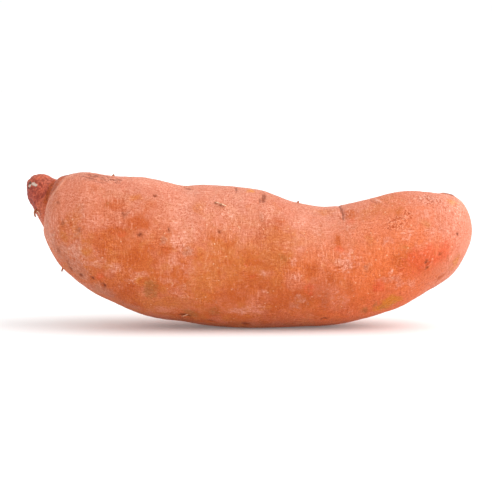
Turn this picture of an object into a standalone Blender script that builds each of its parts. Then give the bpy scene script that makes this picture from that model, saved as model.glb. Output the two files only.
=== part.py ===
"""A sweet potato: one swollen root with a short stem neck, lying on its belly.

Metres, +Z up. The root's length runs along X with the neck at -X, its two ends
turn up, and the flattened spot of the belly that it rests on lies in z = 0.
"""

import math

import bmesh
import bpy
from mathutils import Vector

MM = 0.001
SIDES = 12
SMOOTHING = 2

# The swollen root, in millimetres, from the shoulder to the blunt end: where each
# ring stands, its underside, its upper side, its half width and its middle.
ROOT_RINGS = [
    (-87.0, 35.0, 52.0, 8.5, -4.0),
    (-82.0, 27.5, 65.8, 17.5, -4.0),
    (-71.5, 18.0, 67.0, 24.5, -3.0),
    (-56.0, 9.5, 65.0, 28.5, -1.5),
    (-38.0, 3.0, 63.0, 30.0, 0.0),
    (-20.0, 0.3, 60.0, 30.5, 0.5),
    (0.0, -1.5, 60.3, 30.0, 1.0),
    (18.0, -1.2, 54.0, 28.5, 1.0),
    (36.0, 0.5, 50.5, 27.0, 0.5),
    (54.0, 4.5, 54.8, 26.0, 0.0),
    (72.0, 13.0, 59.5, 24.5, -0.5),
    (85.0, 21.5, 58.0, 19.0, -1.0),
    (92.5, 31.0, 53.5, 10.5, -1.5),
]
SHOULDER = (-88.8, -4.0, 43.0)
BLUNT_END = (95.0, -1.5, 42.5)

# The stem neck, a leaning blunt cone, in millimetres along its own axis from its
# foot, deep inside the root: the distance and the radius there.
NECK_FOOT = (-62.0, 5.0, 36.5)
NECK_TIP = (-94.4, 15.5, 62.6)
NECK_RINGS = [(2.5, 8.0), (7.5, 13.0), (16.0, 13.0), (24.5, 9.6), (31.0, 7.6), (36.8, 5.8), (41.0, 3.9)]

# The belly is pressed flat where its weight rests.
FLAT_DEPTH = 12.0

SKIN_COLOUR = (0.72, 0.21, 0.10, 1.0)
SKIN_ROUGHNESS = 0.62


def clear_scene():
    for item in list(bpy.data.objects):
        bpy.data.objects.remove(item, do_unlink=True)


def new_collection(name):
    collection = bpy.data.collections.new(name)
    bpy.context.scene.collection.children.link(collection)
    return collection


def skin_material():
    material = bpy.data.materials.new("sweet_potato_skin")
    material.use_nodes = True
    shader = material.node_tree.nodes["Principled BSDF"]
    shader.inputs["Base Color"].default_value = SKIN_COLOUR
    shader.inputs["Roughness"].default_value = SKIN_ROUGHNESS
    shader.inputs["Metallic"].default_value = 0.0
    material.diffuse_color = SKIN_COLOUR
    return material


def make_object(name, bm, collection, parent):
    mesh = bpy.data.meshes.new(name)
    bm.to_mesh(mesh)
    bm.free()
    mesh.shade_smooth()
    item = bpy.data.objects.new(name, mesh)
    collection.objects.link(item)
    item.parent = parent
    return item


def ring_cage(name, rings, ends, collection, parent):
    """A closed cage of rings between two end points, smoothed by subdivision.

    It is a sphere whose parallels are moved onto the rings, each given as its
    centre and the two half axes of its ellipse. Smoothing draws a ring of SIDES
    points inwards by (2 + cos(turn)) / 3, so each ring is swelled by that much.
    """
    swell = 3.0 / (2.0 + math.cos(2.0 * math.pi / SIDES))
    bands = len(rings) + 1
    bm = bmesh.new()
    bmesh.ops.create_uvsphere(bm, u_segments=SIDES, v_segments=bands, radius=1.0)
    for vert in bm.verts:
        place = round(math.acos(-max(-1.0, min(1.0, vert.co.z))) / math.pi * bands)
        if place in (0, bands):
            vert.co = ends[0] if place == 0 else ends[1]
            continue
        centre, side, up = rings[place - 1]
        turn = math.atan2(vert.co.y, vert.co.x)
        vert.co = centre + swell * (math.cos(turn) * side + math.sin(turn) * up)
    item = make_object(name, bm, collection, parent)
    smooth = item.modifiers.new("smooth", "SUBSURF")
    smooth.levels = SMOOTHING
    smooth.render_levels = SMOOTHING
    return item


def make_root(collection, parent):
    rings = []
    for x, low, high, half_width, mid in ROOT_RINGS:
        centre = Vector((x, mid, (low + high) / 2)) * MM
        side = Vector((0, half_width, 0)) * MM
        up = Vector((0, 0, (high - low) / 2)) * MM
        rings.append((centre, side, up))
    ends = (Vector(SHOULDER) * MM, Vector(BLUNT_END) * MM)
    return ring_cage("sweet_potato", rings, ends, collection, parent)


def make_neck(collection, parent):
    foot = Vector(NECK_FOOT) * MM
    axis = Vector(NECK_TIP) * MM - foot
    rings = []
    for distance, radius in NECK_RINGS:
        centre = Vector((0, 0, distance)) * MM
        rings.append((centre, Vector((radius, 0, 0)) * MM, Vector((0, radius, 0)) * MM))
    ends = (Vector((0, 0, 0)), Vector((0, 0, axis.length)))
    neck = ring_cage("neck", rings, ends, collection, parent)
    neck.location = foot
    neck.rotation_euler = axis.to_track_quat("Z", "Y").to_euler()
    return as_guide(neck)


def make_ground_block(collection, parent):
    bm = bmesh.new()
    bmesh.ops.create_cube(bm, size=1.0)
    for vert in bm.verts:
        vert.co = Vector((vert.co.x * 240, vert.co.y * 90, (vert.co.z - 0.5) * FLAT_DEPTH)) * MM
    return as_guide(make_object("ground_block", bm, collection, parent))


def as_guide(item):
    item.hide_render = True
    item.display_type = "WIRE"
    return item


def combine(item, other, operation):
    step = item.modifiers.new(other.name, "BOOLEAN")
    step.operation = operation
    step.object = other


def centre_over_origin(item, carrier):
    """Slides the whole model so that the root's box is centred over the origin."""
    bpy.context.view_layer.update()
    shaped = item.evaluated_get(bpy.context.evaluated_depsgraph_get())
    corners = [shaped.matrix_world @ Vector(corner) for corner in shaped.bound_box]
    for axis in (0, 1):
        spread = [corner[axis] for corner in corners]
        carrier.location[axis] -= (min(spread) + max(spread)) / 2


def main():
    clear_scene()
    parts = new_collection("sweet potato")
    guides = new_collection("guides")
    carrier = bpy.data.objects.new("carrier", None)
    parts.objects.link(carrier)
    root = make_root(parts, carrier)
    root.data.materials.append(skin_material())
    combine(root, make_neck(guides, carrier), "UNION")
    combine(root, make_ground_block(guides, carrier), "DIFFERENCE")
    centre_over_origin(root, carrier)


main()
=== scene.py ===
"""Looks of one sweet potato: its skin, its rootlet stubs and the table that it lies on.

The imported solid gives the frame. Places are in millimetres along the frame's own axes: x runs along the
root from the stem neck to the blunt end. A turn is an angle round the root in degrees: 0 at the top, 90 on
the near side (-Y), 180 underneath and 270 on the far side.
"""

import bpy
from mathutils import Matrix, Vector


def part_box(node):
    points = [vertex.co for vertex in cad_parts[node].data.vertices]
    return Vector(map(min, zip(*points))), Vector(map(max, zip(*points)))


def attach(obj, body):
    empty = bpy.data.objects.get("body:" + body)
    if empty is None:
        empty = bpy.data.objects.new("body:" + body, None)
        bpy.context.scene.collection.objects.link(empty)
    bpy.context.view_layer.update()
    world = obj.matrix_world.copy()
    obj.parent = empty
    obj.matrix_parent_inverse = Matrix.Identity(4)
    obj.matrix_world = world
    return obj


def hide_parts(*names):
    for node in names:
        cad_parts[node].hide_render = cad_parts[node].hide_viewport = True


bl_info = {
    "name": "Sweet potato",
    "version": (1, 0, 0),
    "blender": (4, 5, 0),
    "location": "3D Viewport > Sidebar > Sweet potato",
    "description": "Grows the skin and rootlets of a sweet potato and sets it on a pale table",
    "category": "Add Mesh",
}

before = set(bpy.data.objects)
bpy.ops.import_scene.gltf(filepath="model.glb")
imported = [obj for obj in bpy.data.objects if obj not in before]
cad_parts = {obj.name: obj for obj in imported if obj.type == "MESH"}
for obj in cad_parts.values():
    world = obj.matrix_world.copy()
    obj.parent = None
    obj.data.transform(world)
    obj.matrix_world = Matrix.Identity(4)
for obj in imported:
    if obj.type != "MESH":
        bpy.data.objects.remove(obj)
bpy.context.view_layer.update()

import math
from itertools import product

import bpy
import numpy as np
from mathutils import Vector

NODE = "sweet_potato"
BODY = "root"
MM = 0.001
ROOT_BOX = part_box(NODE)

# The swollen root: x, its top, its underside, its half width and its middle.
OUTLINE = (
    (-86.4, 47.4, 38.9, 6.0, -4.0),
    (-85.3, 52.8, 36.5, 10.5, -4.0),
    (-83.4, 58.8, 32.6, 15.3, -4.0),
    (-80.8, 63.5, 28.1, 19.0, -4.0),
    (-76.5, 65.2, 23.4, 22.2, -3.6),
    (-69.6, 66.2, 17.7, 25.4, -3.0),
    (-59.8, 64.9, 11.9, 28.0, -1.8),
    (-46.0, 64.0, 5.7, 30.0, -0.4),
    (-36.0, 62.1, 3.4, 30.3, 0.2),
    (-27.0, 60.2, 2.3, 30.4, 0.6),
    (-21.0, 60.4, 1.2, 30.4, 0.8),
    (-16.0, 60.4, 0.4, 30.2, 1.0),
    (-4.0, 59.7, -1.0, 29.7, 1.2),
    (8.0, 57.7, -1.1, 29.2, 1.2),
    (18.0, 53.9, -0.4, 28.4, 1.0),
    (24.0, 52.4, 0.0, 27.8, 0.8),
    (30.0, 51.5, 0.2, 27.3, 0.6),
    (36.0, 51.7, 0.9, 26.9, 0.4),
    (42.0, 52.7, 1.9, 26.6, 0.2),
    (54.0, 55.4, 4.8, 26.0, 0.0),
    (66.0, 58.0, 9.5, 25.0, -0.4),
    (76.6, 57.7, 15.8, 22.5, -0.8),
    (85.4, 56.3, 21.3, 18.5, -1.1),
    (90.6, 53.6, 27.8, 13.4, -1.3),
    (93.6, 48.2, 34.2, 7.6, -1.5),
)
SHOULDER_END = (-87.0, -4.0, 42.4)
BLUNT_END = (94.9, -1.5, 41.0)

# The stem neck, a paraboloid leaning out of the far side of the shoulder.
NECK_TIP = np.array((-94.7, 11.3, 62.3))
NECK_FOOT = np.array((-65.9, 4.7, 37.4))
NECK_BEND = 3.2
NECK_DEPTH = 30.0
NECK_THINNING = 5.0
NECK_AXIS = (NECK_FOOT - NECK_TIP) / np.linalg.norm(NECK_FOOT - NECK_TIP)

# How far corners are filled: in the near fold between neck and shoulder, what the far side and the top add
# to that, and at the ground.
NEAR_FILLET = 0.7
FAR_FILLET = 5.0
TOP_FILLET = 3.5
GROUND_FILLET = 1.2

# Where the grid's rays start: inside the neck's root at one end, short of the blunt end at the other.
NECK_HEART = np.array((-77.0, 9.0, 50.0))
NECK_POLE = np.array((-0.82, 0.27, 0.50))
BLUNT_HEART_X = 72.0
BLUNT_POLE = np.array((0.984, -0.04, 0.175))

RAY_LENGTH = 60.0
HALVINGS = 24

# The grid: its rows and columns, the turn of its seam, and how they crowd on the near side and the neck.
ROWS = 336
COLUMNS = 288
SEAM_TURN = 215.0
NEAR_TURN = 80.0
NEAR_CROWDING = 0.35
NECK_CROWDING = 0.6

# Swells and ripples of the whole skin: the size of a bump, its height, and how far it is drawn out.
SWELLS = (
    (26.0, 0.35, (1.0, 1.0, 1.0)),
    (11.0, 0.18, (1.0, 1.0, 1.0)),
    (4.5, 0.08, (1.0, 1.0, 1.0)),
    (1.9, 0.045, (1.0, 1.0, 1.0)),
    (2.0, 0.06, (1.0, 7.0, 7.0)),
)

# Lumps and dents of the neck and the shoulder: a point, a radius and a height.
LUMPS = (
    ((-80.3, -1.0, 64.0), 3.5, -0.6),
    ((-89.0, 10.0, 65.5), 5.0, 1.5),
    ((-93.5, 8.0, 55.0), 3.5, 0.6),
    ((-84.0, 4.0, 52.0), 3.0, -0.4),
    ((-91.5, 12.0, 64.0), 3.0, -0.3),
)

# Marks on the neck's tip, each a point and a radius: a pale chip, and dark spots beside it.
CHIP = (
    ((-92.7, 6.0, 61.0), 0.6),
    ((-91.8, 5.4, 60.5), 0.9),
    ((-90.8, 4.8, 59.9), 0.7),
    ((-93.5, 6.6, 59.7), 0.8),
)
TIP_SPOTS = (((-94.0, 6.9, 61.2), 1.2), ((-94.5, 7.2, 59.0), 0.7))

# The shoulder's pale lip beside the neck, as x and turn.
LIP = (
    (-73.7, 10), (-75.3, 17), (-76.9, 25), (-78.1, 34), (-79.8, 43), (-81.1, 48), (-82.9, 51), (-84.0, 55),
    (-84.8, 60), (-85.3, 72),
)

# Lamps: how broad each is in degrees, and the direction that it lies in.
OVERHEAD_LAMP = (70.0, 0.77, -0.21, 0.6)
SIDE_LAMP = (60.0, 0.9, -0.4, 0.15)

# How far the camera aims from the middle of the root's box, in millimetres.
AIM_SHIFT = (-1.07, 0.0, 1.367)

# Fibres and broken rootlets: the points that each runs through, its radius at the foot and its paleness.
FIBRES = (
    (((-90.4, 4.4, 50.0), (-91.3, 2.8, 49.2), (-91.3, 1.6, 47.7), (-90.6, 1.5, 46.7)), 0.6, 0.1),
    (((-90.7, 2.4, 48.8), (-90.0, 1.3, 49.3), (-89.3, 1.1, 48.2), (-89.7, 1.3, 47.1)), 0.28, 0.9),
    (((-77.6, -7.4, 27.4), (-78.3, -8.6, 26.1), (-78.8, -9.2, 25.2), (-78.7, -9.4, 24.4)), 0.6, 0.1),
    (((-13.9, -17.2, 54.4), (-13.1, -18.0, 54.3), (-12.0, -18.3, 53.9)), 0.4, 1.0),
    (((-12.0, -17.8, 53.7), (-11.0, -18.8, 53.6), (-10.0, -19.0, 53.2), (-9.2, -18.9, 53.0)), 0.45, 1.0),
    (((-28.4, -15.2, 6.3), (-27.2, -16.5, 6.6), (-26.0, -16.7, 7.1), (-25.2, -16.4, 7.4)), 0.3, 0.8),
    (((-58.2, 3.0, 62.5), (-57.8, 2.7, 64.3), (-57.3, 2.6, 65.1)), 0.8, 0.0),
    (((20.9, 1.0, 52.0), (21.1, 0.9, 53.3), (21.5, 0.8, 53.8)), 0.6, 0.0),
)

# Broken rootlets: how far each knot rises and leans, as shares of the length, and how low it may come.
STUB_BENDS = ((-0.3, 0.0), (0.3, 0.1), (0.6, 0.6))
STUB_CLEARANCE = 0.8
FIBRE_RINGS = 14
FIBRE_SIDES = 10

# Blots of colour on the near side, layer by layer: x, turn, half length, half width and strength. Most rose,
# bloom and glow blots at the two ends, x past about ±82, are a painted highlight on the pale rims there.
BLOTS = {
    "rust": (
        (0, 98, 3, 2, 1.0), (2, 88, 4, 2, 0.8), (8, 90, 3, 2, 0.5), (-15, 71, 3, 2, 0.7),
        (-64, 37, 3, 3, 0.5), (-58, 54, 4, 4, 0.6), (-53, 53, 3, 4, 0.6), (-45, 66, 5, 4, 1.0),
        (-41, 49, 4, 4, 0.6), (-56, 78, 7, 3, 0.8), (-61, 93, 3, 5, 0.7), (-58, 100, 5, 3, 0.5),
        (-47, 94, 5, 4, 0.9), (-34, 84, 4, 3, 0.9), (-39, 95, 3, 3, 0.7), (-49, 126, 5, 5, 0.9),
        (-56, 138, 5, 5, 0.8), (-47, 142, 7, 3, 0.8), (-8, 27, 3, 5, 0.3), (-1, 38, 3, 4, 0.3),
        (-8, 74, 4, 3, 0.6), (-9, 90, 4, 2, 0.6), (-12, 96, 1, 2, 0.9), (-15, 136, 4, 5, 0.8),
        (-6, 59, 2, 4, 0.4), (13, 49, 3, 4, 0.6), (27, 87, 5, 3, 0.8), (34, 96, 5, 4, 0.7),
        (37, 62, 2, 4, 0.8), (43, 31, 3, 4, 0.9), (62, 47, 5, 4, 0.3), (53, 40, 4, 3, 0.5),
        (65, 97, 6, 4, 0.8), (73, 110, 4, 3, 0.7), (11, 121, 3, 3, 0.6), (32, 117, 3, 6, 0.6),
        (42, 107, 3, 4, 0.6), (-1, 80, 5, 5, 0.5), (80, 57, 3, 3, 0.4), (-77, 90, 3, 3, 0.5),
        (-79, 121, 3, 4, 0.6), (5, 104, 8, 5, 0.6), (25, 113, 7, 5, 0.6), (-6, 118, 7, 4, 0.5),
        (81, 137, 3, 2, 0.8), (59, 141, 3, 2, 0.8), (-40, 84, 3, 2, 0.5), (-7, 112, 5, 5, 0.5),
        (8, 142, 8, 5, 0.5), (-70, 96, 4, 4, 0.3),
    ),
    "tan": (
        (57, 15, 9, 8, 0.4), (50, 36, 8, 6, 0.4), (62, 40, 6, 6, 0.3), (24, 118, 6, 6, 0.4),
        (10, 62, 5, 6, 0.6), (8, 84, 5, 5, 0.6), (-36, 62, 5, 5, 0.4), (12, 32, 3, 4, 0.4),
        (-47, 42, 3, 3, 0.7), (-76, 99, 3, 3, 0.7), (-67, 104, 3, 3, 0.9), (-20, 43, 3, 5, 0.6),
        (-20, 85, 2, 3, 0.5), (-20, 118, 4, 6, 0.6), (-24, 109, 4, 4, 0.4), (-1, 88, 7, 3, 0.7),
        (14, 81, 3, 3, 1.0), (9, 106, 4, 3, 0.5), (73, 64, 3, 3, 0.6), (64, 84, 3, 2, 0.6),
        (87, 126, 4, 5, 0.8), (50, 67, 4, 4, 0.5), (32, 22, 6, 5, 0.6), (85, 31, 3, 3, 0.7),
        (-41, 139, 4, 4, 0.6), (-14, 74, 4, 3, 0.4), (0, 92, 17, 11, 0.6), (-44, 134, 15, 5, 0.6),
        (-12, 78, 9, 7, 0.5), (18, 60, 8, 7, 0.5), (-16, 104, 9, 6, 0.5), (-30, 128, 10, 5, 0.5),
    ),
    "flush": (
        (76, 101, 6, 5, 0.8), (82, 102, 5, 5, 0.4), (69, 99, 5, 4, 0.6), (42, 41, 3, 2, 0.8),
        (54, 114, 3, 4, 0.8), (1, 98, 2, 1, 0.5), (-34, 84, 3, 2, 0.25), (-43, 65, 3, 3, 0.25),
        (37, 71, 2, 2, 0.8), (-52, 79, 4, 2, 0.4), (-61, 122, 4, 3, 0.5), (25, 105, 4, 4, 0.5),
        (-1, 91, 2, 1, 0.5), (-79, 108, 2, 3, 0.4), (-79, 142, 3, 6, 0.4), (70, 106, 9, 6, 0.5),
        (84, 92, 4, 6, 0.3),
    ),
    "rose": (
        (-42, 13, 7, 7, 0.8), (-32, 27, 6, 7, 0.7), (-18, 12, 7, 7, 0.7), (-53, 11, 6, 6, 0.6),
        (-85, 70, 4, 11, 0.8), (-84, 100, 4, 8, 0.7), (84, 45, 6, 9, 0.9), (90, 80, 4, 9, 0.8),
        (74, 15, 8, 7, 0.8), (87, 110, 5, 7, 0.6), (-3, 10, 7, 6, 0.5), (12, 8, 7, 6, 0.5),
        (-74, 42, 4, 5, 0.9), (-62, 47, 3, 3, 0.6), (-52, 27, 5, 6, 0.8), (-41, 32, 4, 5, 0.7),
        (-64, 72, 5, 3, 0.7), (-56, 73, 9, 2, 0.8), (-18, 22, 5, 7, 0.6), (-13, 56, 3, 4, 0.7),
        (-4, 112, 5, 3, 0.5), (-28, 117, 5, 5, 0.6), (-14, 80, 5, 2, 0.6), (15, 27, 7, 5, 0.9),
        (1, 30, 3, 3, 0.8), (21, 71, 2, 2, 0.9), (6, 111, 3, 2, 0.5), (56, 109, 4, 2, 0.7),
        (42, 83, 6, 6, 0.5), (81, 75, 5, 4, 0.6), (71, 31, 8, 5, 0.6), (3, 130, 5, 5, 0.5),
        (40, 123, 5, 5, 0.4), (63, 118, 4, 4, 0.5), (-78, 71, 4, 5, 0.4), (56, 71, 6, 3, 0.4),
        (-24, 96, 4, 4, 0.5), (21, 48, 4, 5, 0.4), (33, 108, 9, 8, 0.6), (-76, 58, 9, 11, 0.7),
        (-40, 14, 10, 6, 0.9), (68, 90, 9, 7, 0.4), (-28, 70, 5, 14, 0.5), (-64, 20, 9, 6, 0.8),
        (-16, 96, 4, 9, 0.3), (-66, 104, 8, 6, 0.6), (-80, 88, 5, 10, 0.7), (86, 28, 6, 10, 0.7),
        (72, 58, 7, 7, 0.5), (-22, 30, 6, 6, 0.5), (-57, 12, 6, 5, 0.6), (-71, 112, 5, 6, 0.6),
        (87, 20, 6, 6, 0.5), (-24, 22, 6, 6, 0.5), (-84, 62, 2, 8, 0.8), (-85, 76, 2, 8, 0.8),
    ),
    "bloom_and_sheen": (
        (-37, 9, 8, 5, 0.6), (-24, 15, 6, 6, 0.6), (88, 20, 5, 8, 0.6), (83, 5, 6, 6, 0.6),
        (-58, 19, 3, 3, 0.8), (-46, 14, 4, 4, 0.8), (-26, 39, 3, 8, 0.8), (-32, 51, 3, 3, 0.8),
        (-24, 64, 5, 3, 1.0), (-27, 74, 5, 3, 0.9), (-30, 92, 3, 3, 0.6), (-33, 108, 3, 2, 0.9),
        (-54, 107, 3, 2, 0.9), (-44, 108, 5, 2, 0.9), (-49, 116, 3, 2, 0.6), (-62, 109, 3, 3, 0.7),
        (-72, 113, 5, 3, 0.6), (-35, 142, 6, 3, 0.8), (-4, 132, 5, 2, 0.9), (-8, 46, 4, 4, 0.7),
        (8, 41, 3, 4, 0.9), (22, 42, 3, 5, 0.8), (28, 49, 3, 4, 0.5), (42, 74, 1, 3, 1.0),
        (40, 87, 4, 3, 0.8), (37, 81, 2, 2, 1.0), (31, 77, 3, 3, 0.6), (59, 101, 1, 2, 0.9),
        (19, 83, 2, 2, 0.7), (19, 95, 2, 2, 0.7), (7, 95, 3, 2, 0.8), (6, 111, 2, 1, 0.7),
        (76, 27, 4, 5, 0.8), (74, 54, 2, 3, 0.7), (65, 69, 3, 3, 0.6), (68, 125, 2, 3, 0.7),
        (21, 117, 5, 6, 0.4), (-65, 81, 2, 2, 0.4), (-1, 92, 2, 1, 0.5), (-43, 15, 7, 5, 0.9),
        (86, 30, 5, 6, 0.6), (-30, 60, 3, 14, 0.5), (-86, 78, 3, 9, 0.6), (-40, 6, 11, 5, 0.9),
        (88, 9, 6, 8, 0.9), (-61, 20, 6, 4, 0.5), (-39, 3, 8, 5, 0.5), (87, 26, 4, 6, 0.5),
        (-82, 56, 1.5, 3, 0.7), (-83, 50, 1, 2, 0.6), (-41, 2, 6, 4, 0.5), (87, 24, 3, 5, 0.5),
    ),
    "ash": (
        (-81, 112, 3, 6, 0.8), (-78, 122, 3, 6, 0.8), (-70, 132, 5, 4, 0.8), (-60, 142, 6, 4, 0.8),
        (-50, 150, 6, 4, 0.6), (-84, 95, 3, 6, 0.6), (-51, 61, 2, 2, 0.5), (-25, 82, 3, 2, 0.9),
        (-35, 77, 2, 2, 0.9), (-74, 131, 3, 6, 0.9), (-70, 137, 3, 3, 0.8), (42, 50, 4, 2, 0.5),
        (49, 92, 2, 2, 0.8), (76, 27, 4, 4, 0.5), (6, 47, 2, 4, 0.6), (6, 97, 2, 2, 0.5),
        (20, 120, 5, 6, 0.5), (32, 116, 3, 5, 0.4), (-62, 144, 5, 4, 0.8), (-70, 87, 2, 2, 0.7),
        (88, 80, 3, 3, 0.4), (-14, 123, 2, 3, 0.5), (-4, 132, 4, 2, 0.5), (28, 51, 3, 3, 0.4),
        (-69, 66, 3, 4, 0.5), (-67, 23, 4, 3, 0.5), (-39, 6, 6, 4, 0.4), (-23, 24, 5, 5, 0.5),
        (87, 25, 4, 6, 0.5), (-71, 110, 5, 7, 0.6), (-39, 3, 7, 4, 0.4),
    ),
    "olive": (
        (-41, 119, 3, 5, 0.8), (-58, 53, 2, 3, 0.5), (6, 48, 2, 4, 0.2), (49, 140, 2, 3, 0.8),
        (53, 135, 1, 2, 0.9), (14, 81, 2, 2, 0.5), (-24, 142, 4, 4, 0.7), (-15, 136, 3, 3, 0.7),
        (-26, 12, 3, 2, 0.4), (-48, 55, 2, 2, 0.4), (30, 50, 3, 3, 0.3),
    ),
    "amber": (
        (60, 137, 4, 3, 1.0), (56, 145, 4, 4, 0.9), (1, 13, 3, 3, 0.7), (85, 31, 3, 2, 0.6),
        (59, 141, 5, 2, 1.0), (-45, 113, 3, 3, 0.4), (-67, 103, 2, 2, 0.4), (87, 130, 4, 4, 0.4),
    ),
    "crackle": (
        (-67, 18, 4, 4, 0.9), (-61, 17, 5, 4, 1.0), (-56, 18, 3, 3, 0.9),
    ),
    "pebble": (
        (61, 58, 5, 4, 0.8), (66, 50, 3, 3, 0.5), (40, 87, 4, 3, 0.4), (76, 29, 5, 5, 0.8),
        (8, 44, 3, 4, 0.4), (-27, 50, 5, 8, 0.35), (-44, 25, 4, 4, 0.3), (40, 34, 3, 3, 0.6),
        (74, 108, 3, 3, 0.5),
    ),
    "dim": (
        (24, 112, 9, 8, 1.0), (70, 116, 12, 7, 0.8), (8, 57, 8, 6, 0.7), (50, 122, 9, 6, 0.6),
        (-3, 110, 8, 6, 0.4), (55, 136, 12, 5, 0.8), (36, 128, 9, 5, 0.5), (-52, 76, 9, 7, 0.3),
        (-72, 128, 8, 5, 0.4), (24, 108, 7, 6, 0.6), (-80, 24, 5, 4, 0.4), (25, 108, 6, 6, 0.6),
        (-28, 108, 6, 6, 0.2),
    ),
    "glow": (
        (-86, 70, 5, 14, 1.0), (-42, 12, 9, 6, 0.9), (-76, 78, 7, 10, 0.4), (-23, 26, 7, 6, 0.6),
        (-70, 108, 8, 6, 0.6), (88, 15, 5, 10, 0.6), (58, 44, 8, 9, 0.6), (-38, 140, 12, 5, 0.5),
        (58, 76, 8, 6, 0.4), (-82, 92, 5, 8, 0.5), (-46, 10, 12, 5, 0.6), (12, 96, 6, 4, 0.3),
        (-39, 142, 8, 5, 0.6), (8, 142, 6, 4, 0.3),
    ),
}

# How many blots each layer has on the far side, and the ranges that their numbers are drawn from.
FAR_BLOTS = {
    "rust": 34, "tan": 20, "flush": 6, "rose": 28, "bloom_and_sheen": 34, "ash": 18,
    "olive": 10, "amber": 5, "crackle": 3, "pebble": 6, "dim": 8, "glow": 8,
}
FAR_BLOT_RANGES = ((-80.0, 88.0), (165.0, 350.0), (2.0, 6.5), (2.0, 5.0), (0.4, 1.0))

# Pits where rootlets grew: x, turn, half length, half width, depth and darkness.
PITS = (
    (-79, 63, 0.9, 1.0, 0.25, 0.5), (-77, 85, 0.7, 1.5, 0.35, 0.6), (-70, 87, 1.1, 1.3, 0.4, 0.6),
    (-52, 61, 1.2, 1.2, 0.4, 0.7), (-44.5, 76, 1.2, 1.1, 0.5, 0.7), (-39, 37, 0.6, 0.7, 0.4, 0.9),
    (-33, 68, 0.9, 1.6, 0.4, 0.7), (-12, 65, 0.8, 0.8, 0.4, 0.8), (-79, 122, 0.8, 1.6, 0.3, 0.6),
    (-75, 129, 0.7, 1.8, 0.4, 0.7), (-74, 138, 0.7, 1.2, 0.4, 0.8), (-70, 137, 1.0, 1.2, 0.4, 0.7),
    (-65, 130, 0.9, 0.9, 0.5, 1.0), (-60, 132, 0.8, 1.1, 0.5, 1.0), (21, 8, 1.2, 0.8, 0.3, 0.7),
    (87, 84, 0.6, 0.7, 0.3, 0.9), (79.5, 101, 0.7, 0.7, 0.3, 0.6), (74, 105, 0.6, 0.8, 0.4, 0.8),
    (74, 112, 0.7, 0.8, 0.4, 1.0), (-1, 151, 1.6, 1.4, 0.3, 0.8), (-16, 150, 2.0, 1.0, 0.3, 0.6),
)
FAR_PITS = 20
FAR_PIT_RANGES = ((-82.0, 88.0), (165.0, 352.0), (0.6, 1.3), (0.8, 1.6), (0.25, 0.55), (0.5, 1.0))

# Creases: a path of x and turn, half width, depth and darkness. Below zero they are a ridge and a pale line.
CREASES = (
    (((38, -45), (38.3, -5), (39.6, 30), (39.2, 43)), 0.65, 0.5, 0.9),
    (((52.3, 3), (54.4, 17), (57, 30)), 0.55, -0.3, -1.0),
    (((51.0, 8), (52.9, 18), (55, 28)), 0.5, 0.25, 0.6),
    (((-29, 7), (-26, 13), (-23, 19)), 0.8, 0.4, 0.7),
    (((-5.3, 4), (-5.2, 24)), 0.8, 0.25, 0.8),
    (((6.3, 12), (6.3, 22), (5.9, 33)), 0.8, 0.5, 1.3),
    (((4.9, 22), (4.9, 33)), 0.6, 0.3, 1.0),
    (((-31, 149), (-27, 146), (-23, 149)), 0.7, 0.4, 1.0),
    (((29.5, 147), (31.7, 142), (34, 146)), 0.7, 0.4, 0.8),
    (((82.0, -12), (84.5, 0), (88.5, 13)), 1.2, -0.6, 1.2),
    (((-58.2, 14), (-58, 20)), 0.4, 0.3, 0.9),
    (((-63.2, 27), (-60.3, 29)), 0.5, 0.3, 0.9),
    (((-65, 22), (-61, 21)), 0.4, 0.2, 0.6),
    (((-69, 14), (-64, 15), (-60, 12)), 0.4, 0.25, 0.6),
    (((-63, 18), (-58, 17), (-53, 19)), 0.4, 0.2, 0.6),
    (((-66, 10), (-60, 8), (-55, 10)), 0.4, 0.2, 0.5),
    (((-57, 24), (-53, 24)), 0.4, 0.2, 0.5),
    (((-20, 121), (-18, 124)), 0.4, 0.1, 0.5),
    (((-19, 120), (-17, 123)), 0.4, 0.1, 0.4),
    (((24, 91), (27, 97)), 0.4, 0.1, 0.4),
    (((33, 112), (36, 117)), 0.4, 0.1, 0.4),
    (((60, 59), (63, 62)), 0.4, 0.15, 0.5),
    (((17, 151), (21, 151)), 0.6, 0.2, 0.7),
)


def ease(low, high, value):
    """0 below low, 1 above high, and 3 s² - 2 s³ between them, s being the share of the way."""
    share = np.clip((value - low) / (high - low), 0.0, 1.0)
    return share * share * (3.0 - 2.0 * share)


def unit(vectors):
    """Each vector over its own length."""
    return vectors / np.linalg.norm(vectors, axis=-1, keepdims=True)


def natural_spline(knots, values, where):
    """Cubic curve through the knots, with no bend at either end.

    With s the share of the way over a gap h between neighbours a and b, whose bends are m, the curve is
    (1 - s) a + s b - h² s (1 - s) ((2 - s) m_a + (1 + s) m_b) / 6.
    """
    gaps = np.diff(knots)
    slopes = np.diff(values, axis=0) / gaps[:, None]
    inner = np.arange(1, len(knots) - 1)
    system = np.eye(len(knots))
    system[inner, inner - 1] = gaps[:-1]
    system[inner, inner] = 2.0 * (gaps[:-1] + gaps[1:])
    system[inner, inner + 1] = gaps[1:]
    jumps = np.zeros_like(values)
    jumps[1:-1] = 6.0 * np.diff(slopes, axis=0)
    bends = np.linalg.solve(system, jumps)
    k = np.clip(np.searchsorted(knots, where) - 1, 0, len(gaps) - 1)
    h = gaps[k][..., None]
    s = (where - knots[k])[..., None] / h
    line = (1.0 - s) * values[k] + s * values[k + 1]
    return line - h * h * s * (1.0 - s) * ((2.0 - s) * bends[k] + (1.0 + s) * bends[k + 1]) / 6.0


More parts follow.
